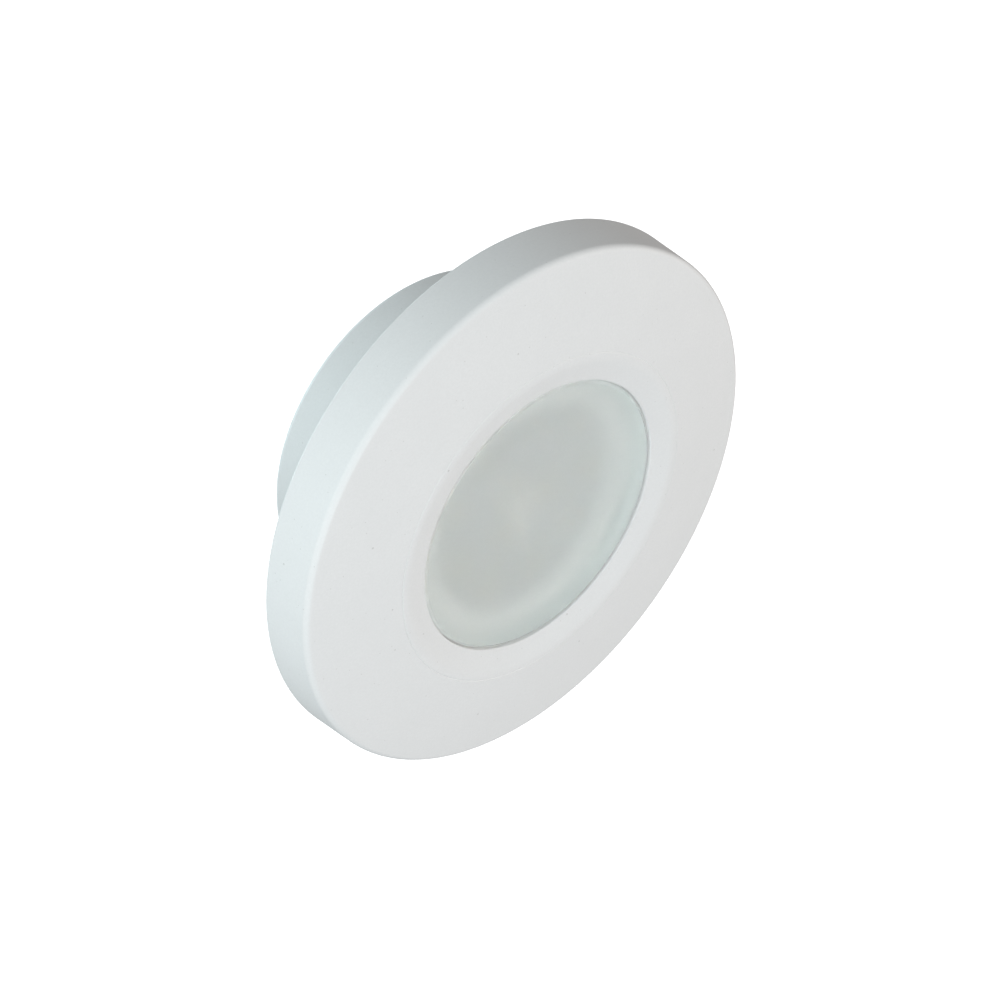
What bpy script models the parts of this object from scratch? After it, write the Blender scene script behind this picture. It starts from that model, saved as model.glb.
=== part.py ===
"""Surface-mounted underwater pool light: a flanged housing that passes through the pool wall, a clamped
lens with the LED module and its driver behind it, and a domed bezel that locks on with a short twist.

The light looks along -Y, +Z is up, and the origin is where its axis meets the wall's surface.
Each piece is drawn about its own +Z; the empty light_axis turns that +Z to the world's -Y, so a height
is a distance from the wall's surface towards the pool, and angles run anticlockwise seen from the pool.
"""

import math

import bmesh
import bpy
from mathutils import Matrix, Vector

MM = 0.001
GAP = 0.3 * MM  # kept between pieces that touch
OUTER_SIDES = 64
ROUND_SIDES = 48
SMALL_SIDES = 12
GLAND_SIDES = 24
SHARP_ANGLE = math.radians(30)

# Bezel
EDGE_R = 55.0 * MM
EDGE_ROUND = 1.4 * MM
RIM_R = 55.8 * MM
RIM_Z = 0.4 * MM
RIM_ROUND = 0.4 * MM
SKIRT_WALL = 2.5 * MM
DOME_SPHERE_R = 334.0 * MM
DISH_R = 33.8 * MM
DISH_Z = 13.9 * MM
OPENING_R = 28.8 * MM
OPENING_Z = 12.7 * MM
OPENING_ROUND = 0.4 * MM
FACE_WALL = 2.4 * MM
LIP_WALL = 1.9 * MM
NOTCH_HALF_WIDTH = 4.0 * MM
NOTCH_DEPTH = 1.6 * MM
NOTCH_ANGLE = math.radians(270)

# Twist lock
LOCK_ANGLES = [math.radians(angle) for angle in (90, 210, 330)]
LUG_HALF = math.radians(12)
LUG_IN_R = 48.5 * MM
LUG_LOW_Z = 1.4 * MM
LUG_TOP_Z = 3.5 * MM
TAB_HALF = math.radians(15)
TAB_IN_R = 45.8 * MM
TAB_OUT_R = 50.8 * MM
TAB_LOW_Z = 3.9 * MM
TAB_TOP_Z = 6.2 * MM
STOP_CLEARANCE = math.radians(0.7)
STOP_WIDTH = math.radians(2.3)
TWIST = math.radians(30)

# Housing
CUP_R = 35.0 * MM
BORE_R = 31.4 * MM
CUP_REAR_Z = -24.1 * MM
FLOOR_Z = -21.1 * MM
CUP_ROUND = 1.5 * MM
FLANGE_R = 48.0 * MM
FLANGE_LOW_Z = 1.8 * MM
FLANGE_TOP_Z = 4.2 * MM
COLLAR_R = 40.4 * MM
COLLAR_Z = 5.6 * MM
BORE_CHAMFER = 0.4 * MM
GLAND_HOLE_R = 6.2 * MM
WALL_HOLE_ANGLES = [math.radians(angle) for angle in (30, 150, 270)]
WALL_HOLE_PITCH_R = 44.0 * MM
WALL_HOLE_R = 2.0 * MM
WALL_SINK_R = 3.4 * MM

# Lens, its seal and its clamp
LENS_FACE_Z = 12.5 * MM
LENS_BOSS_R = 28.55 * MM
LENS_CHAMFER = 0.5 * MM
LENS_FLANGE_R = 33.4 * MM
LENS_FLANGE_WALL = 2.2 * MM
LENS_INNER_R = 27.6 * MM
LENS_WINDOW_WALL = 3.0 * MM
SPIGOT_LOW_Z = 3.0 * MM
GROOVE_R = 29.3 * MM
GROOVE_LOW_Z = 3.5 * MM
GROOVE_TOP_Z = 5.4 * MM
SEAL_SECTION_R = 0.75 * MM
CLAMP_OUT_R = 40.0 * MM
CLAMP_IN_R = 29.2 * MM
CLAMP_LIP_WALL = 1.5 * MM
CLAMP_CHAMFER = 0.4 * MM
CLAMP_PITCH_R = 36.9 * MM
CLAMP_COUNTERBORE_R = 2.55 * MM
CLAMP_SEAT_Z = 8.0 * MM
CLAMP_ANGLES = [math.radians(60 * step) for step in range(6)]

# Screws of size M2.5
THREAD_R = 1.1 * MM
THREAD_HOLE_R = 1.4 * MM
HEAD_R = 2.2 * MM
HEAD_HEIGHT = 1.5 * MM
SOCKET_FLAT_R = 0.9 * MM
SOCKET_DEPTH = 0.9 * MM

# Light module on the housing's posts
POST_ANGLES = [math.radians(angle) for angle in (90, 210, 330)]
POST_PITCH_R = 25.0 * MM
POST_R = 3.0 * MM
POST_TOP_Z = -3.6 * MM
RIB_HALF_WIDTH = 0.8 * MM
RIB_TOP_Z = -5.0 * MM
MODULE_HOLE_DEPTH = 5.4 * MM
SINK_R = 30.8 * MM
SINK_PLATE = 3.0 * MM
FIN_HEIGHT = 4.0 * MM
FIN_WALL = 1.2 * MM
FIN_REACH_R = 20.0 * MM
FIN_PLACES = [side * offset * MM for side in (-1, 1) for offset in (3.4, 7.8, 12.2, 16.6)]
PAD_R = 28.6 * MM
PAD_WALL = 0.5 * MM
LED_BOARD_R = 29.4 * MM
BOARD_WALL = 1.6 * MM
LEAD_HOLE_R = 2.4 * MM
LED_SIDE = 3.0 * MM
LED_HEIGHT = 0.9 * MM
LED_INNER_RING = (3, 7.0 * MM)
LED_OUTER_RING = (9, 17.0 * MM)
REFLECTOR_FOOT_R = 19.8 * MM
REFLECTOR_WELL_R = 23.1 * MM
REFLECTOR_WELL_Z = 7.4 * MM
REFLECTOR_OUT_R = 27.3 * MM
REFLECTOR_TOP_Z = 8.3 * MM
REFLECTOR_WALL = 1.2 * MM

# Driver
DRIVER_R = 21.4 * MM
DRIVER_LOW_Z = -15.6 * MM
STANDOFF_ANGLES = [math.radians(angle) for angle in (30, 150, 270)]
STANDOFF_PITCH_R = 17.5 * MM
STANDOFF_FLAT_R = 2.2 * MM
STANDOFF_STUD = 1.7 * MM
STANDOFF_HOLE_DEPTH = 3.6 * MM
CABLE_HOLE_AT = (5.5 * MM, 3.6 * MM)
CABLE_HOLE_R = 3.0 * MM
INDUCTOR_AT = (-10.5 * MM, -4.5 * MM)
INDUCTOR_R = 4.6 * MM
INDUCTOR_WAIST_R = 3.3 * MM
INDUCTOR_HEIGHT = 5.2 * MM
INDUCTOR_CHEEK = 1.1 * MM
CAPACITORS_AT = ((8.0 * MM, -9.5 * MM), (13.0 * MM, -2.5 * MM))
CAPACITOR_R = 3.2 * MM
CAPACITOR_HEIGHT = 5.4 * MM
RECTIFIER_AT = (-6.0 * MM, 7.0 * MM)
RECTIFIER_SIZE = (6.4 * MM, 5.0 * MM, 2.4 * MM)
CHIP_AT = (0.0, -7.5 * MM)
CHIP_SIZE = (5.0 * MM, 4.0 * MM, 1.5 * MM)
TERMINAL_AT = (3.5 * MM, 12.5 * MM)
TERMINAL_SIZE = (10.0 * MM, 7.6 * MM, 5.4 * MM)
TERMINAL_PITCH = 5.0 * MM
TERMINAL_WELL_R = 1.9 * MM
TERMINAL_WELL_DEPTH = 1.6 * MM
TERMINAL_SCREW_R = 1.5 * MM
LEAD_R = 0.55 * MM
LEAD_OFFSET = 1.1 * MM
LEAD_REACH = 4.6 * MM

# Cable gland of size M12
GLAND_THREAD_R = 5.9 * MM
GLAND_TOP_Z = -16.6 * MM
GLAND_HEX_R = 7.5 * MM
GLAND_HEX_TOP_Z = -26.4 * MM
GLAND_HEX_LOW_Z = -29.9 * MM
GLAND_TAIL_R = 5.6 * MM
GLAND_TAIL_Z = -36.5 * MM
GLAND_BORE_R = 3.4 * MM
GLAND_POCKET_R = 4.5 * MM
GLAND_POCKET_Z = -31.5 * MM
GLAND_SEAL_R = 4.2 * MM
GLAND_SEAL_BORE_R = 3.0 * MM
GLAND_SEAL_Z = -37.2 * MM
GLAND_NUT_Z = -41.0 * MM
GLAND_NUT_BORE_R = 3.6 * MM
GLAND_NUT_ROUND = 2.0 * MM
GLAND_ORING_R = 7.1 * MM
GLAND_ORING_SECTION_R = 0.85 * MM
LOCKNUT_FLAT_R = 8.5 * MM
LOCKNUT_HEIGHT = 3.5 * MM

COLOURS = {
    "white_plastic": ((0.86, 0.88, 0.88), 0.35, 0.0),
    "frosted_lens": ((0.58, 0.64, 0.60), 0.30, 0.0),
    "reflector_white": ((0.90, 0.91, 0.90), 0.45, 0.0),
    "clamp_plastic": ((0.84, 0.85, 0.85), 0.45, 0.0),
    "silicone": ((0.78, 0.78, 0.76), 0.60, 0.0),
    "seal_rubber": ((0.03, 0.03, 0.03), 0.75, 0.0),
    "steel": ((0.62, 0.63, 0.65), 0.28, 1.0),
    "aluminium": ((0.72, 0.73, 0.74), 0.38, 1.0),
    "brass": ((0.76, 0.60, 0.30), 0.30, 1.0),
    "thermal_pad": ((0.45, 0.55, 0.66), 0.80, 0.0),
    "led_board": ((0.58, 0.61, 0.63), 0.40, 0.0),
    "led": ((0.92, 0.80, 0.35), 0.30, 0.0),
    "driver_board": ((0.05, 0.24, 0.12), 0.40, 0.0),
    "black_epoxy": ((0.04, 0.04, 0.04), 0.50, 0.0),
    "ferrite": ((0.14, 0.13, 0.13), 0.60, 0.0),
    "terminal_plastic": ((0.10, 0.32, 0.16), 0.45, 0.0),
    "red_insulation": ((0.62, 0.05, 0.04), 0.50, 0.0),
    "black_insulation": ((0.03, 0.03, 0.03), 0.50, 0.0),
    "gland_nylon": ((0.80, 0.82, 0.82), 0.45, 0.0),
}


def clear_scene():
    for obj in list(bpy.data.objects):
        bpy.data.objects.remove(obj, do_unlink=True)


def material(name):
    colour, roughness, metallic = COLOURS[name]
    made = bpy.data.materials.get(name)
    if made:
        return made
    made = bpy.data.materials.new(name)
    made.use_nodes = True
    shader = made.node_tree.nodes["Principled BSDF"]
    shader.inputs["Base Color"].default_value = (*colour, 1.0)
    shader.inputs["Roughness"].default_value = roughness
    shader.inputs["Metallic"].default_value = metallic
    return made


def empty(name, parent=None, rotation=(0.0, 0.0, 0.0)):
    made = bpy.data.objects.new(name, None)
    made.rotation_euler = rotation
    made.parent = parent
    bpy.context.collection.objects.link(made)
    return made


def piece(name, solid, parent, material_name, location=(0.0, 0.0, 0.0)):
    """Store the bmesh solid as an object of its own."""
    bmesh.ops.recalc_face_normals(solid, faces=solid.faces)
    mesh = bpy.data.meshes.new(name)
    solid.to_mesh(mesh)
    solid.free()
    mesh.shade_smooth()
    mesh.set_sharp_from_angle(angle=SHARP_ANGLE)
    mesh.materials.append(material(material_name))
    made = bpy.data.objects.new(name, mesh)
    made.location = location
    made.parent = parent
    bpy.context.collection.objects.link(made)
    return made


def combine(target, tool, operation):
    """Add the tool's solid to the target, or take it away, and keep the tool out of the model."""
    tool.hide_render = True
    tool.display_type = "WIRE"
    modifier = target.modifiers.new(tool.name, "BOOLEAN")
    modifier.operation = operation
    modifier.solver = "EXACT"
    modifier.object = tool


def polar(radius, angle):
    return (radius * math.cos(angle), radius * math.sin(angle))


def arc(centre_r, centre_z, radius, start, end, steps):
    """Points of an arc in an outline, its angles in degrees from the outward direction."""
    points = []
    for step in range(steps + 1):
        angle = math.radians(start + (end - start) * step / steps)
        points.append((centre_r + radius * math.cos(angle), centre_z + radius * math.sin(angle)))
    return points


def ring_vertices(solid, radius, height, sides, flats, centre):
    """One ring of a turned piece; with flats, radius is that of the circle inside the polygon."""
    ring = []
    for step in range(sides):
        angle = math.tau * step / sides
        reach = radius
        if flats:
            from_middle = math.pi / flats - angle % (math.tau / flats)
            reach = radius / math.cos(from_middle)
        x, y = polar(reach, angle)
        ring.append(solid.verts.new((centre[0] + x, centre[1] + y, height)))
    return ring


def add_turned(solid, outline, sides, centre=(0.0, 0.0)):
    """Turn a closed outline of (radius, height) or (radius, height, flats) points about the axis.

    The outline runs up its outer side and down its inner side.
    """
    rings = []
    for radius, height, *flats in outline:
        if radius == 0.0:
            rings.append([solid.verts.new((centre[0], centre[1], height))])
        else:
            rings.append(ring_vertices(solid, radius, height, sides, flats and flats[0], centre))
    for lower, upper in zip(rings, rings[1:] + rings[:1]):
        for step in range(sides):
            corners = []
            for ring, place in ((lower, step), (lower, step + 1), (upper, step + 1), (upper, step)):
                vertex = ring[place % len(ring)]
                if vertex not in corners:
                    corners.append(vertex)
            if len(corners) > 2:
                solid.faces.new(corners)


def turned(name, outline, sides, parent, material_name, centre=(0.0, 0.0)):
    solid = bmesh.new()
    add_turned(solid, outline, sides)
    return piece(name, solid, parent, material_name, (centre[0], centre[1], 0.0))


def rod_outline(radius, low, top):
    return [(0.0, low), (radius, low), (radius, top), (0.0, top)]


def tube_outline(inner, outer, low, top):
    return [(inner, low), (outer, low), (outer, top), (inner, top)]


def add_sector(solid, inner, outer, low, top, start, end):
    """A block that follows the light's circle from one angle to another."""
    steps = max(1, round((end - start) / math.radians(6)))
    slices = []
    for step in range(steps + 1):
        angle = start + (end - start) * step / steps
        corners = []
        for radius, height in ((inner, low), (outer, low), (outer, top), (inner, top)):
            corners.append(solid.verts.new((*polar(radius, angle), height)))
        slices.append(corners)
    for first, second in zip(slices, slices[1:]):
        for corner in range(4):
            after = (corner + 1) % 4
            solid.faces.new((first[corner], first[after], second[after], second[corner]))
    solid.faces.new(slices[0])
    solid.faces.new(slices[-1])


def add_block(solid, size, centre, angle=0.0):
    matrix = Matrix.Translation(Vector(centre)) @ Matrix.Rotation(angle, 4, "Z")
    bmesh.ops.create_cube(solid, size=1.0, matrix=matrix @ Matrix.Diagonal((*size, 1.0)))


def add_holes(solid, radius, low, top, places, sides=SMALL_SIDES):
    for place in places:
        add_turned(solid, rod_outline(radius, low, top), sides, place)


def tool(name, solid, parent):
    return piece(name, solid, parent, "white_plastic")


def dome_drop(radius):
    """How far the dome's sphere falls below its top at this radius."""
    return DOME_SPHERE_R - math.sqrt(DOME_SPHERE_R**2 - radius**2)


def dome_z(radius):
    return DISH_Z + dome_drop(DISH_R) - dome_drop(radius)


def bezel_outline():
    rim_in_r = RIM_R - SKIRT_WALL
    skirt_in_r = EDGE_R - SKIRT_WALL
    outline = [(rim_in_r, RIM_Z), (RIM_R - RIM_ROUND, RIM_Z), (RIM_R, RIM_Z + RIM_ROUND)]
    edge_centre_r = EDGE_R - EDGE_ROUND
    outline += arc(edge_centre_r, dome_z(edge_centre_r) - EDGE_ROUND, EDGE_ROUND, 0, 80, 3)
    for step in (2, 1):
        radius = DISH_R + (edge_centre_r - DISH_R) * step / 3
        outline.append((radius, dome_z(radius)))
    outline += [(DISH_R, DISH_Z), (OPENING_R + OPENING_ROUND, OPENING_Z)]
    outline += [(OPENING_R, OPENING_Z - OPENING_ROUND), (OPENING_R, OPENING_Z - LIP_WALL)]
    outline.append((DISH_R, DISH_Z - FACE_WALL))
    middle = (DISH_R + skirt_in_r) / 2
    outline.append((middle, dome_z(middle) - FACE_WALL))
    outline.append((skirt_in_r - EDGE_ROUND, dome_z(skirt_in_r) - FACE_WALL))
    outline.append((skirt_in_r, dome_z(skirt_in_r) - FACE_WALL - EDGE_ROUND))
    return outline


def make_bezel(pivot):
    bezel = turned("bezel", bezel_outline(), OUTER_SIDES, pivot, "white_plastic")
    lugs = bmesh.new()
    lug_out_r = RIM_R - SKIRT_WALL / 2
    for angle in LOCK_ANGLES:
        add_sector(lugs, LUG_IN_R, lug_out_r, LUG_LOW_Z, LUG_TOP_Z, angle - LUG_HALF, angle + LUG_HALF)
    combine(bezel, tool("bezel_lugs", lugs, pivot), "UNION")
    notch = bmesh.new()
    size = (4 * SKIRT_WALL, 2 * NOTCH_HALF_WIDTH, 2 * NOTCH_DEPTH)
    add_block(notch, size, (*polar(RIM_R, NOTCH_ANGLE), RIM_Z), NOTCH_ANGLE)
    combine(bezel, tool("bezel_notch", notch, pivot), "DIFFERENCE")


def housing_outline():
    outline = [(GLAND_HOLE_R, CUP_REAR_Z)]
    outline += arc(CUP_R - CUP_ROUND, CUP_REAR_Z + CUP_ROUND, CUP_ROUND, -90, 0, 3)
    outline += [(CUP_R, FLANGE_LOW_Z), (FLANGE_R, FLANGE_LOW_Z), (FLANGE_R, FLANGE_TOP_Z)]
    outline += [(COLLAR_R, FLANGE_TOP_Z), (COLLAR_R, COLLAR_Z)]
    outline += [(BORE_R + BORE_CHAMFER, COLLAR_Z), (BORE_R, COLLAR_Z - BORE_CHAMFER)]
    outline += [(BORE_R, FLOOR_Z), (GLAND_HOLE_R, FLOOR_Z)]
    return outline


def lock_tabs():
    """The tabs that the bezel's lugs turn behind, with a stop at each end of the twist."""
    solid = bmesh.new()
    rest_edge = LUG_HALF + STOP_CLEARANCE
    free_edge = TWIST + LUG_HALF + STOP_CLEARANCE
    inner = FLANGE_R - GAP
    for angle in LOCK_ANGLES:
        tab = (angle - TAB_HALF, angle + TAB_HALF)
        add_sector(solid, TAB_IN_R, TAB_OUT_R, TAB_LOW_Z, TAB_TOP_Z, *tab)
    stops = bmesh.new()
    for angle in LOCK_ANGLES:
        held = (angle - rest_edge - STOP_WIDTH, angle - rest_edge)
        freed = (angle + free_edge, angle + free_edge + STOP_WIDTH)
        for start, end in (held, freed):
            add_sector(stops, inner, TAB_OUT_R, FLANGE_LOW_Z, (TAB_LOW_Z + TAB_TOP_Z) / 2, start, end)
    return solid, stops


def housing_posts():
    """Three posts that carry the light module, each tied to the cup's wall by a rib."""
    posts = bmesh.new()
    ribs = bmesh.new()
    low = FLOOR_Z - GAP
    rib_end = BORE_R + GAP
    for angle in POST_ANGLES:
        add_turned(posts, rod_outline(POST_R, low, POST_TOP_Z), SMALL_SIDES, polar(POST_PITCH_R, angle))
        size = (rib_end - POST_PITCH_R, 2 * RIB_HALF_WIDTH, RIB_TOP_Z - low)
        centre = (*polar((rib_end + POST_PITCH_R) / 2, angle), (RIB_TOP_Z + low) / 2)
        add_block(ribs, size, centre, angle)
    return posts, ribs


def housing_holes():
    holes = bmesh.new()
    clamp_low = FLANGE_LOW_Z + 2 * GAP
    clamp_places = [polar(CLAMP_PITCH_R, angle) for angle in CLAMP_ANGLES]
    add_holes(holes, THREAD_HOLE_R, clamp_low, COLLAR_Z + GAP, clamp_places)
    post_places = [polar(POST_PITCH_R, angle) for angle in POST_ANGLES]
    add_holes(holes, THREAD_HOLE_R, POST_TOP_Z - MODULE_HOLE_DEPTH, POST_TOP_Z + GAP, post_places)
    stud_places = [polar(STANDOFF_PITCH_R, angle) for angle in STANDOFF_ANGLES]
    add_holes(holes, THREAD_HOLE_R, FLOOR_Z - STANDOFF_STUD - GAP, FLOOR_Z + GAP, stud_places)
    sink = [(0.0, FLANGE_LOW_Z - GAP), (WALL_HOLE_R, FLANGE_LOW_Z - GAP)]
    sink += [(WALL_HOLE_R, FLANGE_TOP_Z + WALL_HOLE_R - WALL_SINK_R), (WALL_SINK_R, FLANGE_TOP_Z)]
    sink += [(WALL_SINK_R, FLANGE_TOP_Z + GAP), (0.0, FLANGE_TOP_Z + GAP)]
    for angle in WALL_HOLE_ANGLES:
        add_turned(holes, sink, SMALL_SIDES, polar(WALL_HOLE_PITCH_R, angle))
    return holes


def make_housing(axis):
    housing = turned("housing", housing_outline(), ROUND_SIDES, axis, "white_plastic")
    tabs, stops = lock_tabs()
    combine(housing, tool("housing_tabs", tabs, axis), "UNION")
    combine(housing, tool("housing_stops", stops, axis), "UNION")
    posts, ribs = housing_posts()
    combine(housing, tool("housing_posts", posts, axis), "UNION")
    combine(housing, tool("housing_ribs", ribs, axis), "UNION")
    combine(housing, tool("housing_holes", housing_holes(), axis), "DIFFERENCE")


def make_wall_gasket(axis):
    outline = tube_outline(CUP_R + 2 * GAP, FLANGE_R - GAP, 0.0, FLANGE_LOW_Z - GAP)
    gasket = turned("wall_gasket", outline, ROUND_SIDES, axis, "seal_rubber")
    holes = bmesh.new()
    places = [polar(WALL_HOLE_PITCH_R, angle) for angle in WALL_HOLE_ANGLES]
    add_holes(holes, WALL_HOLE_R, -GAP, FLANGE_LOW_Z, places)
    combine(gasket, tool("wall_gasket_holes", holes, axis), "DIFFERENCE")


def lens_outline():
    flange_low = COLLAR_Z + GAP
    flange_top = flange_low + LENS_FLANGE_WALL
    spigot_r = BORE_R - GAP
    inside_z = LENS_FACE_Z - LENS_WINDOW_WALL
    return [
        (LENS_INNER_R, SPIGOT_LOW_Z),
        (spigot_r, SPIGOT_LOW_Z),
        (spigot_r, GROOVE_LOW_Z),
        (GROOVE_R, GROOVE_LOW_Z),
        (GROOVE_R, GROOVE_TOP_Z),
        (spigot_r, GROOVE_TOP_Z),
        (spigot_r, flange_low),
        (LENS_FLANGE_R, flange_low),
        (LENS_FLANGE_R, flange_top),
        (LENS_BOSS_R, flange_top),
        (LENS_BOSS_R, LENS_FACE_Z - LENS_CHAMFER),
        (LENS_BOSS_R - LENS_CHAMFER, LENS_FACE_Z),
        (0.0, LENS_FACE_Z),
        (0.0, inside_z),
        (LENS_INNER_R, inside_z),
    ]


def torus_outline(centre_r, centre_z, radius, sides):
    return arc(centre_r, centre_z, radius, 0, 360, sides)[:-1]


def make_lens_group(axis):
    turned("lens", lens_outline(), ROUND_SIDES, axis, "frosted_lens")
    seal_r = GROOVE_R + GAP + SEAL_SECTION_R
    seal = torus_outline(seal_r, (GROOVE_LOW_Z + GROOVE_TOP_Z) / 2, SEAL_SECTION_R, 6)
    turned("lens_seal", seal, ROUND_SIDES, axis, "silicone")

    low = COLLAR_Z + GAP
    lip_low = low + LENS_FLANGE_WALL + GAP
    top = lip_low + CLAMP_LIP_WALL
    inner = LENS_FLANGE_R + GAP
    outline = [(inner, low), (CLAMP_OUT_R, low), (CLAMP_OUT_R, top - CLAMP_CHAMFER)]
    outline += [(CLAMP_OUT_R - CLAMP_CHAMFER, top), (CLAMP_IN_R + CLAMP_CHAMFER, top)]
    outline += [(CLAMP_IN_R, top - CLAMP_CHAMFER), (CLAMP_IN_R, lip_low), (inner, lip_low)]
    ring = turned("lens_clamp_ring", outline, ROUND_SIDES, axis, "clamp_plastic")
    holes = bmesh.new()
    bore = [(0.0, low - GAP), (THREAD_HOLE_R, low - GAP), (THREAD_HOLE_R, CLAMP_SEAT_Z)]
    bore += [(CLAMP_COUNTERBORE_R, CLAMP_SEAT_Z), (CLAMP_COUNTERBORE_R, top + GAP), (0.0, top + GAP)]
    for angle in CLAMP_ANGLES:
        add_turned(holes, bore, SMALL_SIDES, polar(CLAMP_PITCH_R, angle))
    combine(ring, tool("lens_clamp_ring_holes", holes, axis), "DIFFERENCE")

    tip = FLANGE_LOW_Z + 3 * GAP
    for number, angle in enumerate(CLAMP_ANGLES, 1):
        make_screw(f"clamp_screw_{number}", axis, polar(CLAMP_PITCH_R, angle), CLAMP_SEAT_Z, tip)


def make_screw(name, axis, place, seat, tip):
    """A cheese-head screw whose head stands a gap above its seat."""
    low = seat + GAP
    top = low + HEAD_HEIGHT
    outline = [(0.0, tip), (THREAD_R, tip), (THREAD_R, low), (HEAD_R, low), (HEAD_R, top)]
    outline += [(SOCKET_FLAT_R, top, 6), (SOCKET_FLAT_R, top - SOCKET_DEPTH, 6)]
    outline.append((0.0, top - SOCKET_DEPTH))
    turned(name, outline, SMALL_SIDES, axis, "steel", place)


def punched_disc(name, axis, radius, low, top, material_name, places, fins=None):
    """A round plate with a hole for the leads, holes for the screws and, on one of them, fins."""
    disc = turned(name, tube_outline(LEAD_HOLE_R, radius, low, top), ROUND_SIDES, axis, material_name)
    if fins:
        combine(disc, tool(f"{name}_fins", fins, axis), "UNION")
    holes = bmesh.new()
    add_holes(holes, THREAD_HOLE_R, low - GAP, top + GAP, places)
    combine(disc, tool(f"{name}_holes", holes, axis), "DIFFERENCE")


def make_light_module(axis):
    places = [polar(POST_PITCH_R, angle) for angle in POST_ANGLES]
    sink_low = POST_TOP_Z + GAP
    sink_top = sink_low + SINK_PLATE
    pad_low = sink_top + GAP
    board_low = pad_low + PAD_WALL + GAP
    board_top = board_low + BOARD_WALL

    fins = bmesh.new()
    for place in FIN_PLACES:
        length = 2 * math.sqrt(FIN_REACH_R**2 - place**2)
        height = FIN_HEIGHT + GAP
        add_block(fins, (FIN_WALL, length, height), (place, 0.0, sink_low + GAP - height / 2))
    punched_disc("heat_sink", axis, SINK_R, sink_low, sink_top, "aluminium", places, fins)
    punched_disc("thermal_pad", axis, PAD_R, pad_low, pad_low + PAD_WALL, "thermal_pad", places)
    punched_disc("led_board", axis, LED_BOARD_R, board_low, board_top, "led_board", places)
    tip = POST_TOP_Z - MODULE_HOLE_DEPTH + GAP
    for number, place in enumerate(places, 1):
        make_screw(f"module_screw_{number}", axis, place, board_top, tip)

    number = 0
    for count, ring_r in (LED_INNER_RING, LED_OUTER_RING):
        for step in range(count):
            number += 1
            angle = math.tau * step / count
            led = bmesh.new()
            size = (LED_SIDE, LED_SIDE, LED_HEIGHT)
            centre = (*polar(ring_r, angle), board_top + GAP + LED_HEIGHT / 2)
            add_block(led, size, centre, angle)
            piece(f"led_{number}", led, axis, "led")

    make_reflector(axis, board_top + GAP)
    return board_top


def make_reflector(axis, low):
    """A well round the LEDs whose mouth flares out to the lens's tube."""
    well_out_r = REFLECTOR_WELL_R + REFLECTOR_WALL
    outline = [(REFLECTOR_FOOT_R, low), (REFLECTOR_FOOT_R + REFLECTOR_WALL, low)]
    outline.append((well_out_r, REFLECTOR_WELL_Z - REFLECTOR_WALL))
    outline += [(REFLECTOR_OUT_R, REFLECTOR_TOP_Z - REFLECTOR_WALL), (REFLECTOR_OUT_R, REFLECTOR_TOP_Z)]
    outline.append((REFLECTOR_WELL_R, REFLECTOR_WELL_Z))
    turned("reflector", outline, ROUND_SIDES, axis, "reflector_white")


def make_driver(axis, led_board_top):
    places = [polar(STANDOFF_PITCH_R, angle) for angle in STANDOFF_ANGLES]
    top = DRIVER_LOW_Z + BOARD_WALL
    disc = rod_outline(DRIVER_R, DRIVER_LOW_Z, top)
    board = turned("driver_board", disc, ROUND_SIDES, axis, "driver_board")
    holes = bmesh.new()
    add_holes(holes, THREAD_HOLE_R, DRIVER_LOW_Z - GAP, top + GAP, places)
    add_holes(holes, CABLE_HOLE_R, DRIVER_LOW_Z - GAP, top + GAP, [CABLE_HOLE_AT], GLAND_SIDES)
    combine(board, tool("driver_board_holes", holes, axis), "DIFFERENCE")

    foot = FLOOR_Z + GAP
    shoulder = DRIVER_LOW_Z - GAP
    standoff = [(0.0, FLOOR_Z - STANDOFF_STUD), (THREAD_R, FLOOR_Z - STANDOFF_STUD), (THREAD_R, foot)]
    standoff += [(STANDOFF_FLAT_R, foot, 6), (STANDOFF_FLAT_R, shoulder, 6), (THREAD_HOLE_R, shoulder)]
    standoff += [(THREAD_HOLE_R, shoulder - STANDOFF_HOLE_DEPTH), (0.0, shoulder - STANDOFF_HOLE_DEPTH)]
    for number, place in enumerate(places, 1):
        turned(f"driver_standoff_{number}", standoff, SMALL_SIDES, axis, "brass", place)
        tip = shoulder - STANDOFF_HOLE_DEPTH + GAP
        make_screw(f"driver_screw_{number}", axis, place, top, tip)

    base = top + GAP
    make_driver_components(axis, base)
    make_leads(axis, base, led_board_top)


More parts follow.
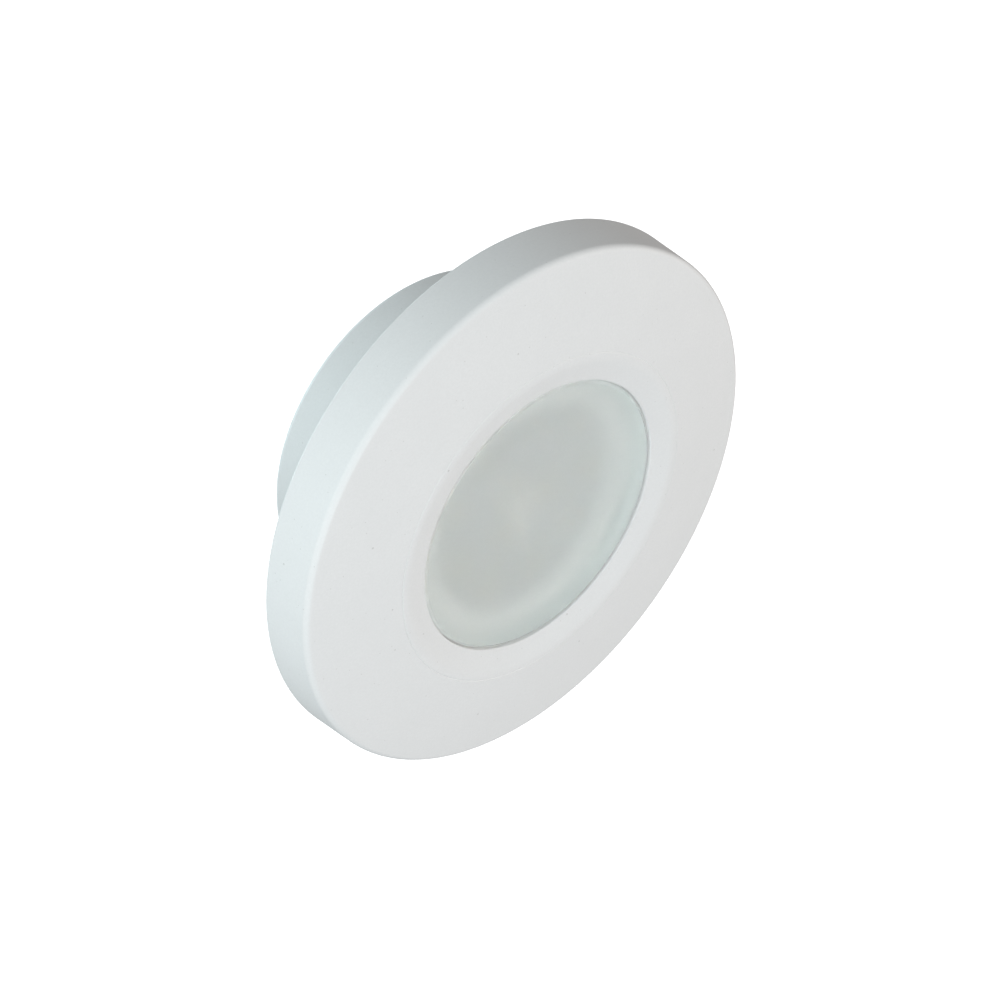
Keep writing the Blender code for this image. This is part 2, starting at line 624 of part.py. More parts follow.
def make_driver_components(axis, base):
    cheek_top = base + INDUCTOR_CHEEK
    head = base + INDUCTOR_HEIGHT
    drum = [(0.0, base), (INDUCTOR_R, base), (INDUCTOR_R, cheek_top), (INDUCTOR_WAIST_R, cheek_top)]
    drum += [(INDUCTOR_WAIST_R, head - INDUCTOR_CHEEK), (INDUCTOR_R, head - INDUCTOR_CHEEK)]
    drum += [(INDUCTOR_R, head), (0.0, head)]
    turned("inductor", drum, SMALL_SIDES, axis, "ferrite", INDUCTOR_AT)
    for number, place in enumerate(CAPACITORS_AT, 1):
        can = rod_outline(CAPACITOR_R, base, base + CAPACITOR_HEIGHT)
        turned(f"capacitor_{number}", can, SMALL_SIDES, axis, "aluminium", place)
    chips = (
        ("bridge_rectifier", RECTIFIER_SIZE, RECTIFIER_AT, "black_epoxy"),
        ("driver_chip", CHIP_SIZE, CHIP_AT, "black_epoxy"),
        ("terminal_block", TERMINAL_SIZE, TERMINAL_AT, "terminal_plastic"),
    )
    for name, size, place, material_name in chips:
        block = bmesh.new()
        add_block(block, size, (*place, base + size[2] / 2))
        made = piece(name, block, axis, material_name)
    wells = bmesh.new()
    head = base + TERMINAL_SIZE[2]
    floor = head - TERMINAL_WELL_DEPTH
    for number, side in enumerate((-1, 1), 1):
        place = (TERMINAL_AT[0] + side * TERMINAL_PITCH / 2, TERMINAL_AT[1])
        add_holes(wells, TERMINAL_WELL_R, floor, head + GAP, [place])
        screw = rod_outline(TERMINAL_SCREW_R, floor + GAP, head - GAP)
        turned(f"terminal_screw_{number}", screw, SMALL_SIDES, axis, "steel", place)
    combine(made, tool("terminal_wells", wells, axis), "DIFFERENCE")


def make_leads(axis, low, board_top):
    """Two leads that rise through the module's middle and bend over onto the LED board's pads."""
    turn_z = board_top + GAP + LEAD_R
    for name, side, material_name in (
        ("led_lead_red", 1, "red_insulation"),
        ("led_lead_black", -1, "black_insulation"),
    ):
        bend = LEAD_REACH - LEAD_OFFSET
        route = [(LEAD_OFFSET, low), (LEAD_OFFSET, turn_z - LEAD_R)]
        for step in range(1, 5):
            angle = math.pi * step / 5
            across = LEAD_OFFSET + bend * (1 - math.cos(angle)) / 2
            route.append((across, turn_z + bend * math.sin(angle) / 2))
        route.append((LEAD_REACH, turn_z - LEAD_R))
        curve = bpy.data.curves.new(name, "CURVE")
        curve.dimensions = "3D"
        curve.bevel_depth = LEAD_R
        curve.bevel_resolution = 2
        curve.use_fill_caps = True
        spline = curve.splines.new("POLY")
        spline.points.add(len(route) - 1)
        for point, (across, height) in zip(spline.points, route):
            point.co = (0.0, side * across, height, 1.0)
        curve.materials.append(material(material_name))
        lead = bpy.data.objects.new(name, curve)
        lead.parent = axis
        bpy.context.collection.objects.link(lead)


def make_gland(axis):
    body = [(GLAND_BORE_R, GLAND_POCKET_Z), (GLAND_POCKET_R, GLAND_POCKET_Z)]
    body += [(GLAND_POCKET_R, GLAND_TAIL_Z), (GLAND_TAIL_R, GLAND_TAIL_Z)]
    body += [(GLAND_TAIL_R, GLAND_HEX_LOW_Z), (GLAND_HEX_R, GLAND_HEX_LOW_Z, 6)]
    body += [(GLAND_HEX_R, GLAND_HEX_TOP_Z, 6), (GLAND_THREAD_R, GLAND_HEX_TOP_Z)]
    body += [(GLAND_THREAD_R, GLAND_TOP_Z), (GLAND_BORE_R, GLAND_TOP_Z)]
    turned("gland_body", body, GLAND_SIDES, axis, "gland_nylon")

    oring_z = (CUP_REAR_Z + GLAND_HEX_TOP_Z) / 2
    oring = torus_outline(GLAND_ORING_R, oring_z, GLAND_ORING_SECTION_R, 6)
    turned("gland_oring", oring, GLAND_SIDES, axis, "seal_rubber")

    low = FLOOR_Z + GAP
    thread_clear_r = GLAND_THREAD_R + GAP
    locknut = [(thread_clear_r, low), (LOCKNUT_FLAT_R, low, 6)]
    locknut += [(LOCKNUT_FLAT_R, low + LOCKNUT_HEIGHT, 6), (thread_clear_r, low + LOCKNUT_HEIGHT)]
    turned("gland_locknut", locknut, GLAND_SIDES, axis, "gland_nylon")

    seal = tube_outline(GLAND_SEAL_BORE_R, GLAND_SEAL_R, GLAND_SEAL_Z, GLAND_POCKET_Z - GAP)
    turned("gland_seal", seal, GLAND_SIDES, axis, "seal_rubber")

    tail_clear_r = GLAND_TAIL_R + GAP
    nut_top = GLAND_HEX_LOW_Z - GAP
    shoulder = GLAND_SEAL_Z - GAP
    nut = [(tail_clear_r, shoulder), (GLAND_NUT_BORE_R, shoulder - (tail_clear_r - GLAND_NUT_BORE_R) / 2)]
    nut += [(GLAND_NUT_BORE_R, GLAND_NUT_Z)]
    nut += arc(GLAND_HEX_R - GLAND_NUT_ROUND, GLAND_NUT_Z + GLAND_NUT_ROUND, GLAND_NUT_ROUND, -90, 0, 3)
    nut += [(GLAND_HEX_R, shoulder), (GLAND_HEX_R, shoulder, 6)]
    nut += [(GLAND_HEX_R, nut_top, 6), (tail_clear_r, nut_top)]
    turned("gland_nut", nut, GLAND_SIDES, axis, "gland_nylon")


def main():
    clear_scene()
    axis = empty("light_axis", rotation=(math.pi / 2, 0.0, 0.0))
    pivot = empty("bezel_twist", axis)
    make_bezel(pivot)
    make_housing(axis)
    make_wall_gasket(axis)
    make_lens_group(axis)
    led_board_top = make_light_module(axis)
    make_driver(axis, led_board_top)
    make_gland(axis)


main()
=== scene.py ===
"""Looks of the surface-mounted underwater pool light.

The light shines along -Y and +Z is up. Turned pieces are drawn about their own +Z, where a height is the
distance from the wall's surface towards the pool, and AXIS turns that +Z to the world's -Y.
"""

import math

import bmesh
import bpy
from mathutils import Matrix, Vector


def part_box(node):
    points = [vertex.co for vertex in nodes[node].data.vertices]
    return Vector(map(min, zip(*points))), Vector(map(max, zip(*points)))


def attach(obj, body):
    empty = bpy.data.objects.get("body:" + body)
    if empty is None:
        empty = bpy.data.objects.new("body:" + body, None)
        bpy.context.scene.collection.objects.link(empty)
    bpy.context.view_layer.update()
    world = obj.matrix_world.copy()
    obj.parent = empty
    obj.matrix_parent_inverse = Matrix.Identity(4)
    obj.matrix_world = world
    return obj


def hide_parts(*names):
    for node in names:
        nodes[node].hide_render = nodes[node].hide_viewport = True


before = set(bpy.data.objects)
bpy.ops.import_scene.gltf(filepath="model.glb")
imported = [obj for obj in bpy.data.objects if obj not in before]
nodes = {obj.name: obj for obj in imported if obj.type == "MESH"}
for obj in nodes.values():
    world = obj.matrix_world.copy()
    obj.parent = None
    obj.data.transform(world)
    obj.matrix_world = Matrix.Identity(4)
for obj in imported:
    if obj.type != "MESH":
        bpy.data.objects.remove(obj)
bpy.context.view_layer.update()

MM = 0.001
GAP = 0.3 * MM
AXIS = Matrix.Rotation(math.pi / 2, 4, "X")
FINE_SIDES = 256
ROUND_SIDES = 192
SMALL_SIDES = 48
HEX_SIDES = 96
ARC_STEPS = 6
SHARP_ANGLE = math.radians(32)


def reach(node):
    """A turned CAD node's outer radius."""
    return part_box(node)[1].x


def span(node):
    """A turned CAD node's lowest and highest height."""
    low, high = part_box(node)
    return -high.y, -low.y


# Bezel
RIM_R = reach("bezel")
RIM_Z, DISH_Z = span("bezel")
RIM_ROUND = 0.45 * MM
EDGE_R = 55.0 * MM
EDGE_ROUND = 1.4 * MM
SKIRT_WALL = 2.5 * MM
DOME_SPHERE_R = 334.0 * MM
DOME_STEPS = 10
DISH_R = 33.8 * MM
DISH_ROUND = 6.0 * MM
DISH_BLEND = 2.2 * MM
CREASE_R = 35.1 * MM
CREASE_HALF_WIDTH = 0.14 * MM
CREASE_DEPTH = 0.09 * MM
OPENING_R = 28.8 * MM
OPENING_Z = 12.7 * MM
OPENING_ROUND = 0.35 * MM
FACE_WALL = 2.4 * MM
LIP_WALL = 1.9 * MM
INNER_ROUND = 0.8 * MM
NOTCH_HALF_WIDTH = 4.0 * MM
NOTCH_DEPTH = 1.6 * MM
NOTCH_ANGLE = math.radians(270)

# Twist lock
LOCK_ANGLES = [math.radians(angle) for angle in (90, 210, 330)]
LUG_HALF = math.radians(12)
LUG_IN_R = 48.5 * MM
LUG_LOW_Z = 1.4 * MM
LUG_TOP_Z = 3.5 * MM
TAB_HALF = math.radians(15)
TAB_IN_R = 45.8 * MM
TAB_OUT_R = 50.8 * MM
TAB_LOW_Z = 3.9 * MM
TAB_TOP_Z = 6.2 * MM
STOP_CLEARANCE = math.radians(0.7)
STOP_WIDTH = math.radians(2.3)
TWIST = math.radians(30)

# Housing
CUP_R = 35.0 * MM
BORE_R = 31.4 * MM
CUP_REAR_Z = -24.1 * MM
FLOOR_Z = -21.1 * MM
CUP_ROUND = 1.5 * MM
FLANGE_R = 48.0 * MM
FLANGE_LOW_Z = 1.8 * MM
FLANGE_TOP_Z = 4.2 * MM
COLLAR_R = 40.4 * MM
COLLAR_Z = 5.6 * MM
BORE_CHAMFER = 0.4 * MM
GLAND_HOLE_R = 6.2 * MM
HOUSING_ROUND = 0.35 * MM
REAR_STEP_IN_R = 11.5 * MM
REAR_STEP_OUT_R = 31.0 * MM
REAR_STEP = 0.35 * MM
REAR_STEP_ROUND = 0.15 * MM
PIN_MARK_R = 2.4 * MM
PIN_MARK_WALL = 0.2 * MM
PIN_MARK_PITCH_R = 24.0 * MM
PIN_MARK_ANGLES = [math.radians(angle) for angle in (45, 135, 225, 315)]
PIN_MARK_DEPTH = 0.15 * MM
WALL_HOLE_ANGLES = [math.radians(angle) for angle in (30, 150, 270)]
WALL_HOLE_PITCH_R = 44.0 * MM
WALL_HOLE_R = 2.0 * MM
WALL_SINK_R = 3.4 * MM
THREAD_HOLE_R = 1.4 * MM
CLAMP_ANGLES = [math.radians(60 * step) for step in range(6)]
CLAMP_PITCH_R = 36.9 * MM
POST_ANGLES = LOCK_ANGLES
POST_PITCH_R = 25.0 * MM
POST_R = 3.0 * MM
POST_TOP_Z = -3.6 * MM
RIB_HALF_WIDTH = 0.8 * MM
RIB_TOP_Z = -5.0 * MM
MODULE_HOLE_DEPTH = 5.4 * MM
STANDOFF_ANGLES = WALL_HOLE_ANGLES
STANDOFF_PITCH_R = 17.5 * MM
STANDOFF_STUD = 1.7 * MM

# Wall gasket
GASKET_IN_R = 35.6 * MM
GASKET_BEADS = 3
GASKET_BEAD = 0.3 * MM
GASKET_BEAD_STEPS = 12

# Lens
LENS_BOSS_R = 28.55 * MM
LENS_CHAMFER = 0.5 * MM
LENS_ROUND = 0.12 * MM
LENS_FLANGE_WALL = 2.2 * MM
LENS_INNER_R = 27.6 * MM
LENS_WINDOW_WALL = 3.0 * MM
GROOVE_R = 29.3 * MM
GROOVE_LOW_Z = 3.5 * MM
GROOVE_TOP_Z = 5.4 * MM

# Lens window: the clear middle, and the opaque ring moulded in just below its face
LENS_TINT = (0.97, 0.985, 0.977)
LENS_RING = (0.84, 0.88, 0.87)
WINDOW_R = 27.2 * MM
WINDOW_FADE = 0.3 * MM
RING_TOP_DEPTH = 0.3 * MM
RING_FULL_DEPTH = 0.5 * MM
WINDOW_SEAM = 0.03 * MM

# Silicone bead round the window
LENS_BEAD_R = 28.75 * MM
LENS_BEAD_DEPTH = 0.55 * MM
LENS_BEAD_HEIGHT = 1.0 * MM
LENS_BEAD_ROUND = 0.08 * MM

# Reflector
REFLECTOR_FOOT_R = 19.8 * MM
REFLECTOR_WELL_R = 23.1 * MM
REFLECTOR_WELL_Z = 7.4 * MM
REFLECTOR_WALL = 1.2 * MM
REFLECTOR_ROUND = 0.5 * MM
REFLECTOR_WHITE = (0.88, 0.89, 0.88)
# Painted shade down the reflector's well: the grey it darkens to, and the depths below the mouth where the
# darkening starts and is full
REFLECTOR_PAINTED_SHADE = (0.62, 0.64, 0.65)
REFLECTOR_PAINTED_SHADE_START = 0.2 * MM
REFLECTOR_PAINTED_SHADE_FULL = 0.6 * MM

# LEDs
LED_SIDE = 3.0 * MM
LED_ROUND = 0.12 * MM
LED_WINDOW_R = 1.2 * MM
LED_DOME = 0.06 * MM

# Silicone over the leads' ends
LEAD_HOLE_R = 2.4 * MM
COVER_R = 5.3 * MM
COVER_ROUND = 1.2 * MM

# Cable gland
GLAND_THREAD_R = 5.9 * MM
GLAND_THREAD_PITCH = 1.5 * MM
GLAND_THREAD_DEPTH = 0.5 * MM
THREAD_CREST_END = 0.2
THREAD_ROOT_START = 0.6
THREAD_ROOT_END = 0.7
GLAND_HEX_R = 7.5 * MM
GLAND_HEX_TOP_Z = -26.4 * MM
GLAND_HEX_LOW_Z = -29.9 * MM
GLAND_TAIL_R = 5.6 * MM
GLAND_BORE_R = 3.4 * MM
GLAND_POCKET_R = 4.5 * MM
GLAND_POCKET_Z = -31.5 * MM
GLAND_SEAL_BORE_R = 3.0 * MM
GLAND_NUT_BORE_R = 3.6 * MM
GLAND_NUT_ROUND = 2.0 * MM
GLAND_CHAMFER = 0.8 * MM
GLAND_ORING_SECTION_R = 0.85 * MM

# Camera: its place is given from a point on the light's axis, in camera axes
CAMERA_TARGET_Z = 10.5 * MM
CAMERA_AZIMUTH = math.radians(-42.04)
CAMERA_ELEVATION = math.radians(39.6)
CAMERA_DISTANCE = 8.0 * EDGE_R
CAMERA_LEFT = 0.1149 * EDGE_R
CAMERA_UP = 0.0416 * EDGE_R
CAMERA_LENS_MM = 84.0
CAMERA_SENSOR_MM = 36.0

# Stage and lights
STAGE_Z = -1.2
STAGE_SIZE = 30.0
AMBIENT = 0.3
LIGHT_DISTANCE = 1.5
LIGHT_SIZE = 1.0
LIGHTS = (  # name, azimuth and elevation in degrees, watts, colour
    ("front_light", -20, 0, 12.4, (0.95, 0.98, 1.0)),
    ("left_light", -90, 30, 12.4, (0.88, 0.99, 1.0)),
    ("right_light", 60, 0, 7.6, (1.0, 0.91, 0.84)),
    ("rear_light", -165, 0, 11.4, (0.74, 0.92, 1.0)),
)


# ---------------------------------------------------------------- mesh helpers


def polar(radius, angle):
    return (radius * math.cos(angle), radius * math.sin(angle))


def arc(centre_r, centre_z, radius, start, end, steps=ARC_STEPS):
    """Points of an arc in an outline, its angles in degrees from the outward direction."""
    points = []
    for step in range(steps + 1):
        angle = math.radians(start + (end - start) * step / steps)
        points.append((centre_r + radius * math.cos(angle), centre_z + radius * math.sin(angle)))
    return points


def rounded(corners, steps=ARC_STEPS):
    """An outline of (radius, height, fillet) corners with each fillet drawn as an arc."""
    outline = []
    count = len(corners)
    for index, (radius, height, fillet) in enumerate(corners):
        corner = Vector((radius, height))
        if fillet == 0.0:
            outline.append((radius, height))
            continue
        before = (Vector(corners[index - 1][:2]) - corner).normalized()
        after = (Vector(corners[(index + 1) % count][:2]) - corner).normalized()
        half = before.angle(after) / 2
        bisector = (before + after).normalized()
        centre = corner + bisector * fillet / math.sin(half)
        start = corner + before * fillet / math.tan(half) - centre
        sweep = math.pi - 2 * half
        if before.x * after.y - before.y * after.x > 0:
            sweep = -sweep
        for step in range(steps + 1):
            turn = Matrix.Rotation(sweep * step / steps, 2)
            outline.append(tuple(centre + turn @ start))
    return outline


def ring_vertices(solid, radius, height, sides, shape, centre):
    """One ring of a turned piece. shape is None for a circle, or (flats, cap) for a polygon whose
    corners are cut back to the cap radius.
    """
    ring = []
    for step in range(sides):
        angle = math.tau * step / sides
        length = radius
        if shape:
            flats, cap = shape
            from_middle = math.pi / flats - angle % (math.tau / flats)
            length = min(radius / math.cos(from_middle), cap)
        x, y = polar(length, angle)
        ring.append(solid.verts.new((centre[0] + x, centre[1] + y, height)))
    return ring


def add_turned(solid, outline, sides, centre=(0.0, 0.0)):
    """Turn a closed outline about the axis; it runs up its outer side and down its inner side."""
    rings = []
    for radius, height, *shape in outline:
        if radius == 0.0:
            rings.append([solid.verts.new((centre[0], centre[1], height))])
        else:
            rings.append(ring_vertices(solid, radius, height, sides, shape and shape[0], centre))
    for lower, upper in zip(rings, rings[1:] + rings[:1]):
        for step in range(sides):
            corners = []
            for ring, place in ((lower, step), (lower, step + 1), (upper, step + 1), (upper, step)):
                vertex = ring[place % len(ring)]
                if vertex not in corners:
                    corners.append(vertex)
            if len(corners) > 2:
                solid.faces.new(corners)


def add_sector(solid, inner, outer, low, top, start, end):
    """A block that follows the light's circle from one angle to another."""
    steps = max(1, round((end - start) / math.radians(1.5)))
    slices = []
    for step in range(steps + 1):
        angle = start + (end - start) * step / steps
        corners = []
        for radius, height in ((inner, low), (outer, low), (outer, top), (inner, top)):
            corners.append(solid.verts.new((*polar(radius, angle), height)))
        slices.append(corners)
    for first, second in zip(slices, slices[1:]):
        for corner in range(4):
            after = (corner + 1) % 4
            solid.faces.new((first[corner], first[after], second[after], second[corner]))
    solid.faces.new(slices[0])
    solid.faces.new(slices[-1])


def add_block(solid, size, centre, angle=0.0):
    matrix = Matrix.Translation(Vector(centre)) @ Matrix.Rotation(angle, 4, "Z")
    bmesh.ops.create_cube(solid, size=1.0, matrix=matrix @ Matrix.Diagonal((*size, 1.0)))


def rod_outline(radius, low, top):
    return [(0.0, low), (radius, low), (radius, top), (0.0, top)]


def new_object(name, solid):
    """The solid as an object in the world's axes, with smooth shading."""
    bmesh.ops.recalc_face_normals(solid, faces=solid.faces)
    solid.transform(AXIS)
    mesh = bpy.data.meshes.new(name)
    solid.to_mesh(mesh)
    solid.free()
    mesh.shade_smooth()
    mesh.set_sharp_from_angle(angle=SHARP_ANGLE)
    made = bpy.data.objects.new(name, mesh)
    bpy.context.collection.objects.link(made)
    return made


def combine(target, solid, operation):
    """Add a solid to the target's mesh, or cut it away, and leave no modifier behind."""
    tool = new_object(target.name + "_tool", solid)
    modifier = target.modifiers.new("combine", "BOOLEAN")
    modifier.operation = operation
    modifier.solver = "EXACT"
    modifier.object = tool
    depsgraph = bpy.context.evaluated_depsgraph_get()
    mesh = bpy.data.meshes.new_from_object(target.evaluated_get(depsgraph))
    target.modifiers.clear()
    old = target.data
    target.data = mesh
    bpy.data.meshes.remove(old)
    bpy.data.objects.remove(tool)
    mesh.shade_smooth()
    mesh.set_sharp_from_angle(angle=SHARP_ANGLE)


def finish_piece(piece, body, material, node):
    """Give a piece its material, let it ride on its body and stand for its CAD node."""
    normals = piece.modifiers.new("flat_faces", "WEIGHTED_NORMAL")
    normals.keep_sharp = True
    piece.data.materials.clear()
    piece.data.materials.append(material)
    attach(piece, body)
    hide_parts(node)


def add_on(piece, body, material):
    """Give a piece that stands for no CAD node its material, and let it ride on its body."""
    piece.data.materials.append(material)
    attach(piece, body)


def turned_piece(name, outline, sides, material, node):
    """A turned piece on the housing that stands for a CAD node."""
    solid = bmesh.new()
    add_turned(solid, outline, sides)
    finish_piece(new_object(name, solid), "housing", material, node)


# ---------------------------------------------------------------- materials


class Surface:
    """A Principled material with procedural patterns laid out in the object's own metres."""

    def __init__(self, name, colour, roughness, metallic=0.0):
        self.material = bpy.data.materials.new(name)
        self.material.use_nodes = True
        self.tree = self.material.node_tree
        self.shader = self.tree.nodes["Principled BSDF"]
        self.place = self.add("ShaderNodeTexCoord").outputs["Object"]
        self.colour = colour
        self.roughness = roughness
        self.set("Base Color", (*colour, 1.0))
        self.set("Roughness", roughness)
        self.set("Metallic", metallic)
        self.height = None

    def add(self, kind, **settings):
        node = self.tree.nodes.new(kind)
        for key, value in settings.items():
            setattr(node, key, value)
        return node

    def link(self, source, target):
        self.tree.links.new(source, target)

    def set(self, socket, value):
        self.shader.inputs[socket].default_value = value

    def stretched(self, scale):
        mapping = self.add("ShaderNodeMapping")
        mapping.inputs["Scale"].default_value = scale
        self.link(self.place, mapping.inputs["Vector"])
        return mapping.outputs["Vector"]

    def noise(self, size, detail=3.0, rough=0.55, place=None):
        """Cloudy noise whose lumps are about this size."""
        node = self.add("ShaderNodeTexNoise")
        node.inputs["Scale"].default_value = 1.0 / size
        node.inputs["Detail"].default_value = detail
        node.inputs["Roughness"].default_value = rough
        self.link(place or self.place, node.inputs["Vector"])
        return node.outputs["Fac"]

    def ranged(self, source, low, high, source_low=0.3, source_high=0.7):
        node = self.add("ShaderNodeMapRange", clamp=True)
        node.inputs["From Min"].default_value = source_low
        node.inputs["From Max"].default_value = source_high
        node.inputs["To Min"].default_value = low
        node.inputs["To Max"].default_value = high
        self.link(source, node.inputs["Value"])
        return node.outputs["Result"]

    def tint(self, amount, other):
        """Mix the colour towards another where the amount is high, on top of any earlier tint."""
        node = self.add("ShaderNodeMix", data_type="RGBA", blend_type="MIX")
        socket = self.shader.inputs["Base Color"]
        if socket.is_linked:
            self.link(socket.links[0].from_socket, node.inputs["A"])
        else:
            node.inputs["A"].default_value = (*self.colour, 1.0)
        node.inputs["B"].default_value = (*other, 1.0)
        self.link(amount, node.inputs["Factor"])
        self.link(node.outputs["Result"], socket)

    def vary_roughness(self, source, amount):
        spread = self.ranged(source, self.roughness - amount, self.roughness + amount)
        self.link(spread, self.shader.inputs["Roughness"])

    def bump(self, source, depth, strength=1.0):
        """Raise the surface by this depth where the source is high, on top of any earlier bump."""
        node = self.add("ShaderNodeBump")
        node.inputs["Strength"].default_value = strength
        node.inputs["Distance"].default_value = depth
        self.link(source, node.inputs["Height"])
        socket = self.shader.inputs["Normal"]
        if socket.is_linked:
            self.link(socket.links[0].from_socket, node.inputs["Normal"])
        self.link(node.outputs["Normal"], socket)

    def specks(self, spacing, size, share, other, strength):
        """Sparse round specks, one in a share of the cells."""
        cells = self.add("ShaderNodeTexVoronoi", feature="F1")
        cells.inputs["Scale"].default_value = 1.0 / spacing
        self.link(self.place, cells.inputs["Vector"])
        near = self.ranged(cells.outputs["Distance"], strength, 0.0, size / spacing * 0.6, size / spacing)
        split = self.add("ShaderNodeSeparateColor")
        self.link(cells.outputs["Color"], split.inputs["Color"])
        chosen = self.add("ShaderNodeMath", operation="LESS_THAN")
        self.link(split.outputs["Red"], chosen.inputs[0])
        chosen.inputs[1].default_value = share
        both = self.add("ShaderNodeMath", operation="MULTIPLY")
        self.link(near, both.inputs[0])
        self.link(chosen.outputs["Value"], both.inputs[1])
        self.tint(both.outputs["Value"], other)


def white_plastic(name, colour):
    """Satin moulded ABS: a faint orange peel and grain, slow changes of tone and a few dark specks."""
    surface = Surface(name, colour, 0.5)
    shade = tuple(channel * 0.965 for channel in colour)
    surface.tint(surface.ranged(surface.noise(9 * MM), 0.0, 0.55), shade)
    grain = tuple(channel * 0.94 for channel in colour)
    surface.tint(surface.ranged(surface.noise(0.45 * MM, detail=2.0), 0.0, 0.6), grain)
    surface.specks(3.4 * MM, 0.26 * MM, 0.22, (0.42, 0.42, 0.40), 0.45)
    surface.specks(1.3 * MM, 0.15 * MM, 0.16, (0.45, 0.45, 0.43), 0.35)
    surface.vary_roughness(surface.noise(2.5 * MM), 0.05)
    surface.bump(surface.noise(0.9 * MM, detail=2.0), 0.010 * MM)
    surface.bump(surface.noise(0.16 * MM, detail=2.0), 0.004 * MM)
    surface.set("Specular IOR Level", 0.35)
    return surface.material


def frosted_window():
    """Clear greenish window, frosted on both faces, whose moulded ring below the bezel is opaque white."""
    surface = Surface("frosted_window", LENS_TINT, 0.8)
    grain = tuple(channel * 0.96 for channel in LENS_TINT)
    surface.tint(surface.ranged(surface.noise(0.4 * MM, detail=2.0), 0.0, 1.0), grain)
    surface.vary_roughness(surface.noise(1.2 * MM), 0.04)
    surface.bump(surface.noise(0.12 * MM, detail=2.0), 0.006 * MM)
    surface.set("IOR", 1.5)
    across = surface.add("ShaderNodeVectorMath", operation="LENGTH")
    surface.link(surface.stretched((1.0, 0.0, 1.0)), across.inputs[0])
    beyond = surface.ranged(across.outputs["Value"], 0.0, 1.0, WINDOW_R, WINDOW_R + WINDOW_FADE)
    place = surface.add("ShaderNodeSeparateXYZ")
    surface.link(surface.place, place.inputs["Vector"])
    face_y = -span("lens")[1]
    below = surface.ranged(place.outputs["Y"], 0.0, 1.0, face_y + RING_TOP_DEPTH, face_y + RING_FULL_DEPTH)
    ring = surface.add("ShaderNodeMath", operation="MULTIPLY")
    surface.link(beyond, ring.inputs[0])
    surface.link(below, ring.inputs[1])
    surface.tint(ring.outputs["Value"], LENS_RING)
    clear = surface.ranged(ring.outputs["Value"], 1.0, 0.0, 0.0, 1.0)
    surface.link(clear, surface.shader.inputs["Transmission Weight"])
    return surface.material


def rubber():
    surface = Surface("black_rubber", (0.028, 0.028, 0.030), 0.72)
    surface.tint(surface.ranged(surface.noise(3 * MM), 0.0, 0.6), (0.05, 0.05, 0.05))
    surface.bump(surface.noise(0.25 * MM), 0.015 * MM)
    surface.set("Specular IOR Level", 0.3)
    return surface.material


def plain_plastic(name, colour, roughness, texture=0.010):
    """A moulded or coated surface with fine texture and a slow change of tone."""
    surface = Surface(name, colour, roughness)
    surface.tint(surface.ranged(surface.noise(6 * MM), 0.0, 0.7), tuple(c * 0.9 for c in colour))
    surface.vary_roughness(surface.noise(1.5 * MM), 0.06)
    surface.bump(surface.noise(0.35 * MM), texture * MM)
    return surface.material


def turned_metal(name, colour, roughness):
    """Turned or drawn metal: fine rings round the light's axis."""
    surface = Surface(name, colour, roughness, 1.0)
    rings = surface.noise(0.9 * MM, place=surface.stretched((1.0, 14.0, 1.0)))
    surface.vary_roughness(rings, 0.07)
    surface.tint(surface.ranged(surface.noise(4 * MM), 0.0, 0.5), tuple(c * 0.86 for c in colour))
    surface.bump(rings, 0.004 * MM)
    return surface.material


def circuit_board(name, colour, track_colour):
    """Solder mask with the copper tracks showing through as slightly lighter lines."""
    surface = Surface(name, colour, 0.35)
    tracks = surface.add("ShaderNodeTexBrick", offset=0.5, squash=1.0)
    tracks.inputs["Scale"].default_value = 1.0 / (6 * MM)
    tracks.inputs["Mortar Size"].default_value = 0.05
    tracks.inputs["Mortar Smooth"].default_value = 0.1
    tracks.inputs["Color1"].default_value = (0.0, 0.0, 0.0, 1.0)
    tracks.inputs["Color2"].default_value = (0.0, 0.0, 0.0, 1.0)
    tracks.inputs["Mortar"].default_value = (1.0, 1.0, 1.0, 1.0)
    turned = surface.add("ShaderNodeMapping")
    turned.inputs["Rotation"].default_value = (math.pi / 2, 0.0, math.pi / 4)
    surface.link(surface.place, turned.inputs["Vector"])
    surface.link(turned.outputs["Vector"], tracks.inputs["Vector"])
    surface.tint(tracks.outputs["Color"], track_colour)
    surface.bump(tracks.outputs["Color"], 0.03 * MM)
    surface.vary_roughness(surface.noise(3 * MM), 0.05)
    return surface.material


def reflector_plastic():
    """Matt white round the mouth, with painted shade that turns it light grey down the well."""
    surface = Surface("reflector_plastic", REFLECTOR_WHITE, 0.5)
    shade = tuple(channel * 0.95 for channel in REFLECTOR_WHITE)
    surface.tint(surface.ranged(surface.noise(6 * MM), 0.0, 0.5), shade)
    place = surface.add("ShaderNodeSeparateXYZ")
    surface.link(surface.place, place.inputs["Vector"])
    # Painted shade: the colour turns grey deeper down the well, where less light reaches
    start = -REFLECTOR_WELL_Z + REFLECTOR_PAINTED_SHADE_START
    full = -REFLECTOR_WELL_Z + REFLECTOR_PAINTED_SHADE_FULL
    surface.tint(surface.ranged(place.outputs["Y"], 0.0, 1.0, start, full), REFLECTOR_PAINTED_SHADE)
    surface.vary_roughness(surface.noise(1.5 * MM), 0.06)
    surface.bump(surface.noise(0.35 * MM), 0.010 * MM)
    return surface.material


def phosphor():
    """Yellow phosphor in a clear gel."""
    surface = Surface("led_phosphor", (0.92, 0.80, 0.35), 0.3)
    surface.tint(surface.ranged(surface.noise(0.5 * MM), 0.0, 0.7), (0.95, 0.87, 0.50))
    surface.bump(surface.noise(0.2 * MM), 0.010 * MM)
    surface.set("Subsurface Weight", 0.2)
    surface.set("Subsurface Radius", (0.0008, 0.0006, 0.0002))
    return surface.material


# ---------------------------------------------------------------- visible pieces


def dome_drop(radius):
    return DOME_SPHERE_R - math.sqrt(DOME_SPHERE_R**2 - radius**2)


def dome_z(radius):
    return DISH_Z + dome_drop(DISH_R) - dome_drop(radius)


